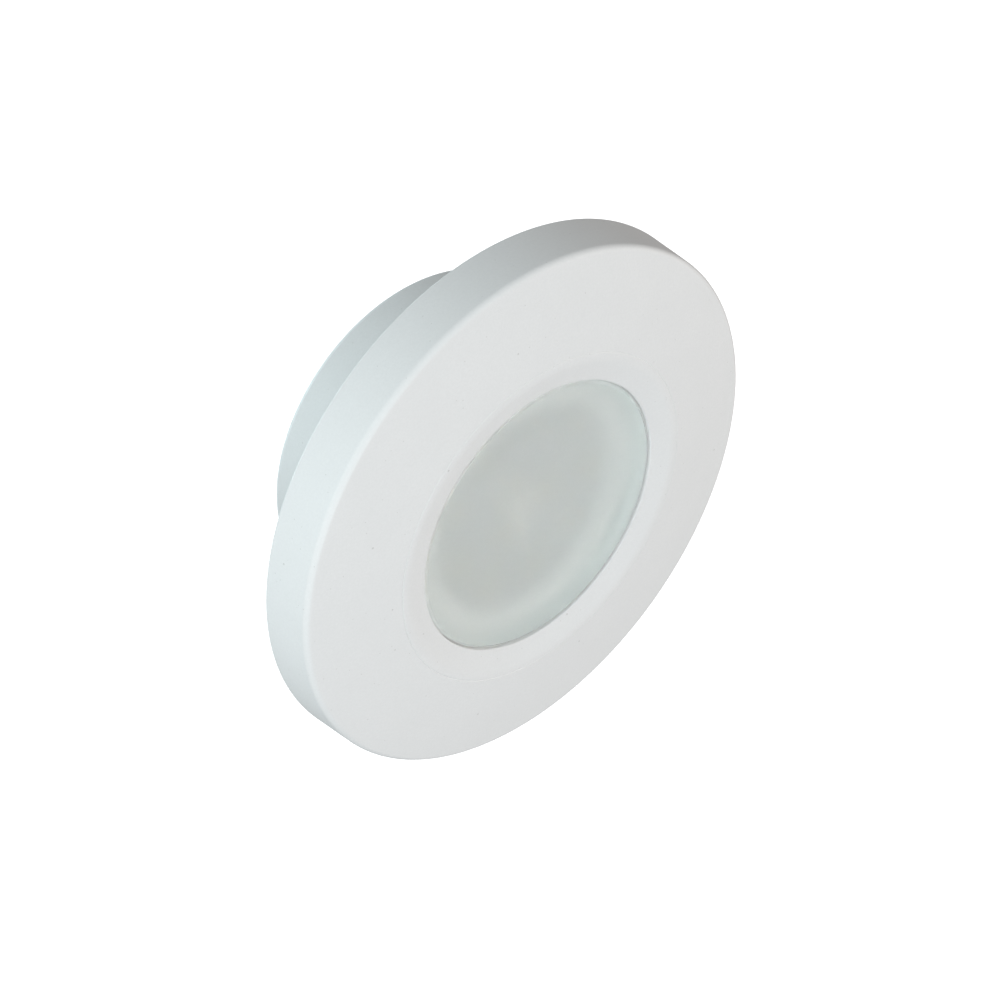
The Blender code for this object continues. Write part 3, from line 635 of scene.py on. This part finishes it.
def dome_points(start_r, end_r, lowered):
    """Points along the dome, or along its underside, between two radii and without the ends."""
    points = []
    for step in range(1, DOME_STEPS):
        radius = start_r + (end_r - start_r) * step / DOME_STEPS
        points.append((radius, dome_z(radius) - lowered, 0.0))
    return points


def bezel_outline():
    skirt_in_r = EDGE_R - SKIRT_WALL
    corner_z = dome_z(EDGE_R)
    inner_z = dome_z(skirt_in_r) - FACE_WALL
    corners = [(RIM_R - SKIRT_WALL, RIM_Z, RIM_ROUND), (RIM_R, RIM_Z, RIM_ROUND)]
    corners.append((EDGE_R, corner_z, EDGE_ROUND))
    corners += dome_points(EDGE_R - 1.5 * EDGE_ROUND, DISH_R + DISH_BLEND, 0.0)
    for side, depth in ((1, 0.0), (0, CREASE_DEPTH), (-1, 0.0)):
        crease_r = CREASE_R + side * CREASE_HALF_WIDTH
        corners.append((crease_r, dome_z(crease_r) - depth, 0.0))
    corners += [(DISH_R, DISH_Z, DISH_ROUND), (OPENING_R, OPENING_Z, OPENING_ROUND)]
    corners.append((OPENING_R, OPENING_Z - LIP_WALL, OPENING_ROUND / 2))
    corners.append((DISH_R, DISH_Z - FACE_WALL, DISH_ROUND))
    corners += dome_points(DISH_R + DISH_BLEND, skirt_in_r - 1.5 * INNER_ROUND, FACE_WALL)
    corners.append((skirt_in_r, inner_z, INNER_ROUND))
    return rounded(corners)


def make_bezel(material):
    solid = bmesh.new()
    add_turned(solid, bezel_outline(), FINE_SIDES)
    bezel = new_object("bezel_shell", solid)
    lugs = bmesh.new()
    lug_out_r = RIM_R - SKIRT_WALL / 2
    for angle in LOCK_ANGLES:
        add_sector(lugs, LUG_IN_R, lug_out_r, LUG_LOW_Z, LUG_TOP_Z, angle - LUG_HALF, angle + LUG_HALF)
    combine(bezel, lugs, "UNION")
    notch = bmesh.new()
    size = (4 * SKIRT_WALL, 2 * NOTCH_HALF_WIDTH, 2 * NOTCH_DEPTH)
    add_block(notch, size, (*polar(RIM_R, NOTCH_ANGLE), RIM_Z), NOTCH_ANGLE)
    combine(bezel, notch, "DIFFERENCE")
    finish_piece(bezel, "bezel", material, "bezel")


def housing_outline():
    step_z = CUP_REAR_Z + REAR_STEP
    corners = [
        (GLAND_HOLE_R, CUP_REAR_Z, 0.0),
        (REAR_STEP_IN_R, CUP_REAR_Z, REAR_STEP_ROUND),
        (REAR_STEP_IN_R, step_z, 0.0),
        (REAR_STEP_OUT_R, step_z, 0.0),
        (REAR_STEP_OUT_R, CUP_REAR_Z, REAR_STEP_ROUND),
        (CUP_R, CUP_REAR_Z, CUP_ROUND),
        (CUP_R, FLANGE_LOW_Z, HOUSING_ROUND),
        (FLANGE_R, FLANGE_LOW_Z, HOUSING_ROUND),
        (FLANGE_R, FLANGE_TOP_Z, HOUSING_ROUND),
        (COLLAR_R, FLANGE_TOP_Z, HOUSING_ROUND),
        (COLLAR_R, COLLAR_Z, HOUSING_ROUND),
        (BORE_R + BORE_CHAMFER, COLLAR_Z, 0.0),
        (BORE_R, COLLAR_Z - BORE_CHAMFER, 0.0),
        (BORE_R, FLOOR_Z, HOUSING_ROUND),
        (GLAND_HOLE_R, FLOOR_Z, 0.0),
    ]
    return rounded(corners)


def lock_tabs():
    """The tabs that the bezel's lugs turn behind."""
    solid = bmesh.new()
    for angle in LOCK_ANGLES:
        tab = (angle - TAB_HALF, angle + TAB_HALF)
        add_sector(solid, TAB_IN_R, TAB_OUT_R, TAB_LOW_Z, TAB_TOP_Z, *tab)
    return solid


def lock_stops():
    """A stop at each end of the twist, three times round."""
    solid = bmesh.new()
    rest_edge = LUG_HALF + STOP_CLEARANCE
    free_edge = TWIST + LUG_HALF + STOP_CLEARANCE
    for angle in LOCK_ANGLES:
        held = (angle - rest_edge - STOP_WIDTH, angle - rest_edge)
        freed = (angle + free_edge, angle + free_edge + STOP_WIDTH)
        for start, end in (held, freed):
            top = (TAB_LOW_Z + TAB_TOP_Z) / 2
            add_sector(solid, FLANGE_R - 2 * GAP, TAB_OUT_R, FLANGE_LOW_Z + GAP / 2, top, start, end)
    return solid


def module_posts():
    solid = bmesh.new()
    low = FLOOR_Z - GAP
    for angle in POST_ANGLES:
        place = polar(POST_PITCH_R, angle)
        add_turned(solid, rod_outline(POST_R, low, POST_TOP_Z), SMALL_SIDES, place)
    return solid


def post_ribs():
    solid = bmesh.new()
    low = FLOOR_Z - GAP
    rib_end = BORE_R + GAP
    for angle in POST_ANGLES:
        size = (rib_end - POST_PITCH_R, 2 * RIB_HALF_WIDTH, RIB_TOP_Z - low)
        centre = (*polar((rib_end + POST_PITCH_R) / 2, angle), (RIB_TOP_Z + low) / 2)
        add_block(solid, size, centre, angle)
    return solid


def housing_holes():
    holes = bmesh.new()
    groups = (
        (CLAMP_ANGLES, CLAMP_PITCH_R, FLANGE_LOW_Z + 2 * GAP, COLLAR_Z + GAP),
        (POST_ANGLES, POST_PITCH_R, POST_TOP_Z - MODULE_HOLE_DEPTH, POST_TOP_Z + GAP),
        (STANDOFF_ANGLES, STANDOFF_PITCH_R, FLOOR_Z - STANDOFF_STUD - GAP, FLOOR_Z + GAP),
    )
    for angles, pitch_r, low, top in groups:
        for angle in angles:
            add_turned(holes, rod_outline(THREAD_HOLE_R, low, top), SMALL_SIDES, polar(pitch_r, angle))
    sink = [(0.0, FLANGE_LOW_Z - GAP), (WALL_HOLE_R, FLANGE_LOW_Z - GAP)]
    sink += [(WALL_HOLE_R, FLANGE_TOP_Z + WALL_HOLE_R - WALL_SINK_R), (WALL_SINK_R, FLANGE_TOP_Z)]
    sink += [(WALL_SINK_R, FLANGE_TOP_Z + GAP), (0.0, FLANGE_TOP_Z + GAP)]
    for angle in WALL_HOLE_ANGLES:
        add_turned(holes, sink, SMALL_SIDES, polar(WALL_HOLE_PITCH_R, angle))
    return holes


def pin_marks():
    """The shallow rings that the mould's ejector pins leave on the rear face."""
    marks = bmesh.new()
    face_z = CUP_REAR_Z + REAR_STEP
    inner = PIN_MARK_R - PIN_MARK_WALL
    outline = [(inner, face_z - GAP), (PIN_MARK_R, face_z - GAP)]
    outline += [(PIN_MARK_R, face_z + PIN_MARK_DEPTH), (inner, face_z + PIN_MARK_DEPTH)]
    for angle in PIN_MARK_ANGLES:
        add_turned(marks, outline, SMALL_SIDES, polar(PIN_MARK_PITCH_R, angle))
    return marks


def make_housing(material):
    solid = bmesh.new()
    add_turned(solid, housing_outline(), ROUND_SIDES)
    housing = new_object("housing_shell", solid)
    combine(housing, lock_tabs(), "UNION")
    combine(housing, lock_stops(), "UNION")
    combine(housing, module_posts(), "UNION")
    combine(housing, post_ribs(), "UNION")
    combine(housing, housing_holes(), "DIFFERENCE")
    combine(housing, pin_marks(), "DIFFERENCE")
    finish_piece(housing, "housing", material, "housing")


def make_wall_gasket(material):
    """A flat rubber ring with round sealing beads on the side that meets the wall."""
    low, top = span("wall_gasket")
    outer = reach("wall_gasket")
    pitch = (outer - GASKET_IN_R) / GASKET_BEADS
    outline = []
    for bead in range(GASKET_BEADS):
        for step in range(GASKET_BEAD_STEPS):
            across = bead * pitch + pitch * step / GASKET_BEAD_STEPS
            height = low + GASKET_BEAD * (1 - math.sin(math.pi * step / GASKET_BEAD_STEPS))
            outline.append((GASKET_IN_R + across, height))
    outline += [(outer, low + GASKET_BEAD), (outer, top), (GASKET_IN_R, top)]
    solid = bmesh.new()
    add_turned(solid, outline, ROUND_SIDES)
    gasket = new_object("gasket_ring", solid)
    holes = bmesh.new()
    for angle in WALL_HOLE_ANGLES:
        hole = rod_outline(WALL_HOLE_R, low - GAP, top + GAP)
        add_turned(holes, hole, SMALL_SIDES, polar(WALL_HOLE_PITCH_R, angle))
    combine(gasket, holes, "DIFFERENCE")
    finish_piece(gasket, "housing", material, "wall_gasket")


def make_lens(material):
    """The window and, a hair below it, the flanged ring that carries it and its seal."""
    low, face = span("lens")
    flange_r = reach("lens")
    flange_low = COLLAR_Z + GAP
    flange_top = flange_low + LENS_FLANGE_WALL
    spigot_r = BORE_R - GAP
    inside_z = face - LENS_WINDOW_WALL
    window = [
        (0.0, inside_z, 0.0),
        (LENS_BOSS_R, inside_z, LENS_ROUND),
        (LENS_BOSS_R, face - LENS_CHAMFER, LENS_ROUND),
        (LENS_BOSS_R - LENS_CHAMFER, face, LENS_ROUND),
        (0.0, face, 0.0),
    ]
    ring_top = inside_z - WINDOW_SEAM
    ring = [
        (LENS_INNER_R, low, LENS_ROUND),
        (spigot_r, low, LENS_ROUND),
        (spigot_r, GROOVE_LOW_Z, 0.0),
        (GROOVE_R, GROOVE_LOW_Z, LENS_ROUND),
        (GROOVE_R, GROOVE_TOP_Z, LENS_ROUND),
        (spigot_r, GROOVE_TOP_Z, 0.0),
        (spigot_r, flange_low, 0.0),
        (flange_r, flange_low, LENS_ROUND),
        (flange_r, flange_top, LENS_ROUND),
        (LENS_BOSS_R, flange_top, LENS_ROUND),
        (LENS_BOSS_R, ring_top, 0.0),
        (LENS_INNER_R, ring_top, 0.0),
    ]
    turned_piece("lens_window", rounded(window, 3), ROUND_SIDES, material, "lens")
    turned_piece("lens_ring", rounded(ring, 3), ROUND_SIDES, material, "lens")


def make_lens_bead(material):
    """The silicone bead round the window, just below its face, that the bezel's opening passes over."""
    top = span("lens")[1] - LENS_BEAD_DEPTH
    inner = LENS_BOSS_R + WINDOW_SEAM
    corners = [(inner, top - LENS_BEAD_HEIGHT, 0.0), (LENS_BEAD_R, top - LENS_BEAD_HEIGHT, LENS_BEAD_ROUND)]
    corners += [(LENS_BEAD_R, top, LENS_BEAD_ROUND), (inner, top, 0.0)]
    solid = bmesh.new()
    add_turned(solid, rounded(corners, 3), ROUND_SIDES)
    bead = new_object("lens_bead", solid)
    add_on(bead, "housing", material)


def make_reflector(material):
    """A well round the LEDs whose mouth flares out to the lens's tube."""
    low, top = span("reflector")
    outer = reach("reflector")
    well_out_r = REFLECTOR_WELL_R + REFLECTOR_WALL
    corners = [
        (REFLECTOR_FOOT_R, low, 0.0),
        (REFLECTOR_FOOT_R + REFLECTOR_WALL, low, 0.0),
        (well_out_r, REFLECTOR_WELL_Z - REFLECTOR_WALL, REFLECTOR_ROUND),
        (outer, top - REFLECTOR_WALL, REFLECTOR_ROUND / 2),
        (outer, top, REFLECTOR_ROUND / 2),
        (REFLECTOR_WELL_R, REFLECTOR_WELL_Z, REFLECTOR_ROUND),
    ]
    outline = rounded(corners, 4)
    turned_piece("reflector_cone", outline, ROUND_SIDES, material, "reflector")


def make_leds(package, phosphor_gel):
    """Square white packages, each with a round phosphor window that stands a hair proud."""
    for name in nodes:
        if not name.startswith("led_") or not name[-1].isdigit():
            continue
        low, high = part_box(name)
        middle = (low + high) / 2
        centre = (middle.x, middle.z, -middle.y)
        top = -low.y
        base = -high.y
        height = top - LED_DOME - base
        angle = math.atan2(middle.z, middle.x)
        solid = bmesh.new()
        add_block(solid, (LED_SIDE, LED_SIDE, height), (*centre[:2], base + height / 2), angle)
        bmesh.ops.bevel(solid, geom=solid.edges[:], offset=LED_ROUND, segments=2, affect="EDGES")
        window = [(0.0, base + height / 2), (LED_WINDOW_R, base + height / 2)]
        window += [(LED_WINDOW_R, top - LED_DOME / 2), (LED_WINDOW_R - LED_DOME, top), (0.0, top)]
        add_turned(solid, window, SMALL_SIDES, centre[:2])
        led = new_object(f"{name}_package", solid)
        finish_piece(led, "housing", package, name)
        led.data.materials.append(phosphor_gel)
        for face in led.data.polygons:
            spot = face.center
            if math.hypot(spot.x - middle.x, spot.z - middle.z) < LED_WINDOW_R and -spot.y > top - LED_DOME:
                face.material_index = 1


def make_lead_cover(material):
    """The white silicone cast over the leads' ends on the LED board."""
    low, top = span("led_board")
    cast_top = span("led_lead_red")[1] + GAP
    corners = [(0.0, low, 0.0), (LEAD_HOLE_R, low, 0.0), (LEAD_HOLE_R, top, 0.0), (COVER_R, top, GAP)]
    corners += [(COVER_R, cast_top, COVER_ROUND), (0.0, cast_top, 0.0)]
    solid = bmesh.new()
    add_turned(solid, rounded(corners), SMALL_SIDES)
    cover = new_object("lead_cover", solid)
    add_on(cover, "housing", material)


def hexagon(flat_r, chamfer, low, top, chamfer_low, chamfer_top):
    """The outline points of a hexagon's outer side, its corners turned off at the chosen ends."""
    corner_r = flat_r / math.cos(math.pi / 6)
    steps = 5
    ends = []
    for step in range(steps + 1):
        cap = flat_r + (corner_r - flat_r) * step / steps
        ends.append((cap, chamfer * step / steps))
    points = []
    if chamfer_low:
        points += [(flat_r, low + rise, (6, cap)) for cap, rise in ends]
    else:
        points.append((flat_r, low, (6, corner_r)))
    if chamfer_top:
        points += [(flat_r, top - rise, (6, cap)) for cap, rise in reversed(ends)]
    else:
        points.append((flat_r, top, (6, corner_r)))
    return points


def thread_profile(radius, low, top):
    """Thread crests as rings, for a thread whose helix isn't seen."""
    points = []
    turns = int((top - low) / GLAND_THREAD_PITCH)
    root_r = radius - GLAND_THREAD_DEPTH
    for turn in range(turns):
        start = low + turn * GLAND_THREAD_PITCH
        points.append((radius, start))
        points.append((radius, start + GLAND_THREAD_PITCH * THREAD_CREST_END))
        points.append((root_r, start + GLAND_THREAD_PITCH * THREAD_ROOT_START))
        points.append((root_r, start + GLAND_THREAD_PITCH * THREAD_ROOT_END))
    points.append((radius, low + turns * GLAND_THREAD_PITCH))
    points.append((radius, top))
    return points


def make_gland(nylon, seal):
    low, top = span("gland_body")
    body = [(GLAND_BORE_R, GLAND_POCKET_Z), (GLAND_POCKET_R, GLAND_POCKET_Z), (GLAND_POCKET_R, low)]
    body += thread_profile(GLAND_TAIL_R, low, GLAND_HEX_LOW_Z)
    body += hexagon(GLAND_HEX_R, GLAND_CHAMFER, GLAND_HEX_LOW_Z, GLAND_HEX_TOP_Z, False, True)
    body += thread_profile(GLAND_THREAD_R, GLAND_HEX_TOP_Z, top)
    body.append((GLAND_BORE_R, top))
    turned_piece("gland_stem", body, HEX_SIDES, nylon, "gland_body")

    low, top = span("gland_nut")
    bore_r = GLAND_TAIL_R + GAP
    shoulder = span("gland_seal")[0] - GAP
    nut = [(bore_r, shoulder), (GLAND_NUT_BORE_R, shoulder - (bore_r - GLAND_NUT_BORE_R) / 2)]
    nut += arc(GLAND_NUT_BORE_R + GAP, low + GAP, GAP, 180, 270, 3)
    nut += arc(GLAND_HEX_R - GLAND_NUT_ROUND, low + GLAND_NUT_ROUND, GLAND_NUT_ROUND, -90, 0, 8)
    nut += hexagon(GLAND_HEX_R, GLAND_CHAMFER, shoulder, top, True, True)
    nut.append((bore_r, top))
    turned_piece("gland_cap", nut, HEX_SIDES, nylon, "gland_nut")

    oring_low, oring_top = span("gland_oring")
    middle = (oring_low + oring_top) / 2
    centre_r = reach("gland_oring") - GLAND_ORING_SECTION_R
    outline = arc(centre_r, middle, GLAND_ORING_SECTION_R, 0, 360, 24)[:-1]
    turned_piece("gland_ring", outline, HEX_SIDES, seal, "gland_oring")

    low, top = span("gland_seal")
    outer = reach("gland_seal")
    corners = [(GLAND_SEAL_BORE_R, low, GAP), (outer, low, GAP)]
    corners += [(outer, top, GAP), (GLAND_SEAL_BORE_R, top, GAP)]
    turned_piece("gland_bush", rounded(corners, 4), HEX_SIDES, seal, "gland_seal")


# ---------------------------------------------------------------- carried-over CAD nodes


def dress_cad_nodes(materials):
    """Give every CAD node that still shows its material, and break its hard edges a little."""
    rules = (
        ("lens_seal", "silicone", 0.0),
        ("lens_clamp_ring", "clamp", 0.15),
        ("clamp_screw", "steel", 0.1),
        ("module_screw", "steel", 0.1),
        ("driver_screw", "steel", 0.1),
        ("terminal_screw", "steel", 0.1),
        ("led_board", "pale_board", 0.1),
        ("led_lead_red", "red", 0.0),
        ("led_lead_black", "black", 0.0),
        ("thermal_pad", "pad", 0.1),
        ("heat_sink", "aluminium", 0.1),
        ("capacitor", "aluminium", 0.4),
        ("driver_board", "green_board", 0.1),
        ("driver_standoff", "brass", 0.1),
        ("bridge_rectifier", "epoxy", 0.25),
        ("driver_chip", "epoxy", 0.2),
        ("inductor", "ferrite", 0.2),
        ("terminal_block", "terminal", 0.25),
        ("gland_locknut", "nylon", 0.2),
    )
    for name, node in nodes.items():
        if node.hide_render:
            continue
        for start, key, edge in rules:
            if name.startswith(start):
                break
        else:
            raise ValueError(f"no material for {name}")
        for slot in node.material_slots:
            slot.material = materials[key]
        if edge:
            bevel = node.modifiers.new("broken_edges", "BEVEL")
            bevel.width = edge * MM
            bevel.segments = 2
            bevel.limit_method = "ANGLE"
            bevel.angle_limit = math.radians(40)


# ---------------------------------------------------------------- stage, light and camera


def direction(azimuth, elevation):
    """The unit vector towards this side; azimuth 0 is the side of -Y and a positive one is towards +X."""
    flat = math.cos(elevation)
    return Vector((math.sin(azimuth) * flat, -math.cos(azimuth) * flat, math.sin(elevation)))


def make_floor():
    """A pale, evenly lit table top far enough below the light to take almost no shadow."""
    bpy.ops.mesh.primitive_plane_add(size=STAGE_SIZE, location=(0.0, 0.0, STAGE_Z))
    floor = bpy.context.object
    floor.name = "floor"
    surface = Surface("pale_floor", (0.9, 0.9, 0.9), 0.9)
    surface.set("Emission Color", (1.0, 1.0, 1.0, 1.0))
    surface.set("Emission Strength", 1.0)
    floor.data.materials.append(surface.material)
    floor.visible_diffuse = False
    floor.visible_glossy = False
    floor.visible_transmission = False


def make_world():
    """A soft grey surround for the light, which the camera sees as white."""
    world = bpy.data.worlds.new("studio")
    bpy.context.scene.world = world
    world.use_nodes = True
    tree = world.node_tree
    shade = tree.nodes["Background"]
    shade.inputs["Color"].default_value = (1.0, 1.0, 1.0, 1.0)
    shade.inputs["Strength"].default_value = AMBIENT
    white = tree.nodes.new("ShaderNodeBackground")
    white.inputs["Color"].default_value = (1.0, 1.0, 1.0, 1.0)
    mix = tree.nodes.new("ShaderNodeMixShader")
    path = tree.nodes.new("ShaderNodeLightPath")
    tree.links.new(path.outputs["Is Camera Ray"], mix.inputs["Fac"])
    tree.links.new(shade.outputs["Background"], mix.inputs[1])
    tree.links.new(white.outputs["Background"], mix.inputs[2])
    tree.links.new(mix.outputs["Shader"], tree.nodes["World Output"].inputs["Surface"])


def make_light(name, azimuth, elevation, watts, colour):
    """A big soft disc that faces the object from this side."""
    data = bpy.data.lights.new(name, "AREA")
    data.shape = "DISK"
    data.size = LIGHT_SIZE
    data.energy = watts
    data.color = colour
    light = bpy.data.objects.new(name, data)
    towards = direction(math.radians(azimuth), math.radians(elevation))
    light.location = towards * LIGHT_DISTANCE
    light.rotation_euler = towards.to_track_quat("Z", "Y").to_euler()
    bpy.context.collection.objects.link(light)


def make_camera():
    data = bpy.data.cameras.new("camera")
    data.lens = CAMERA_LENS_MM
    data.sensor_width = CAMERA_SENSOR_MM
    data.clip_start = 0.01
    data.clip_end = 100.0
    camera = bpy.data.objects.new("camera", data)
    back = direction(CAMERA_AZIMUTH, CAMERA_ELEVATION)
    turn = back.to_track_quat("Z", "Y")
    left = turn @ Vector((-1.0, 0.0, 0.0))
    up = turn @ Vector((0.0, 1.0, 0.0))
    target = Vector((0.0, -CAMERA_TARGET_Z, 0.0))
    camera.location = target + back * CAMERA_DISTANCE + left * CAMERA_LEFT + up * CAMERA_UP
    camera.rotation_euler = turn.to_euler()
    bpy.context.collection.objects.link(camera)
    bpy.context.scene.camera = camera


def main():
    bpy.context.scene.view_settings.view_transform = "Standard"
    make_camera()
    make_floor()
    make_world()
    for settings in LIGHTS:
        make_light(*settings)

    white = white_plastic("white_abs", (0.80, 0.81, 0.81))
    nylon = plain_plastic("grey_nylon", (0.74, 0.77, 0.77), 0.45)
    seal = rubber()
    materials = {
        "silicone": plain_plastic("white_silicone", (0.78, 0.78, 0.76), 0.6),
        "nylon": nylon,
        "clamp": plain_plastic("white_glass_nylon", (0.84, 0.85, 0.85), 0.45),
        "steel": turned_metal("stainless_steel", (0.62, 0.63, 0.65), 0.28),
        "aluminium": turned_metal("satin_aluminium", (0.72, 0.73, 0.74), 0.38),
        "brass": turned_metal("turned_brass", (0.76, 0.60, 0.30), 0.30),
        "pale_board": circuit_board("pale_board", (0.58, 0.61, 0.63), (0.64, 0.66, 0.68)),
        "green_board": circuit_board("green_board", (0.04, 0.22, 0.11), (0.08, 0.34, 0.17)),
        "red": plain_plastic("red_silicone", (0.62, 0.05, 0.04), 0.5),
        "black": plain_plastic("black_silicone", (0.03, 0.03, 0.03), 0.5),
        "pad": plain_plastic("gap_filler", (0.45, 0.55, 0.66), 0.8, 0.03),
        "epoxy": plain_plastic("black_epoxy", (0.04, 0.04, 0.04), 0.5),
        "ferrite": plain_plastic("pressed_ferrite", (0.14, 0.13, 0.13), 0.6, 0.03),
        "terminal": plain_plastic("green_polyamide", (0.10, 0.32, 0.16), 0.45),
    }
    make_bezel(white)
    make_housing(white_plastic("white_abs_body", (0.79, 0.81, 0.81)))
    make_wall_gasket(seal)
    make_lens(frosted_window())
    make_lens_bead(materials["silicone"])
    make_reflector(reflector_plastic())
    make_leds(plain_plastic("white_package", (0.86, 0.86, 0.84), 0.4), phosphor())
    make_lead_cover(materials["silicone"])
    make_gland(nylon, seal)
    dress_cad_nodes(materials)


main()
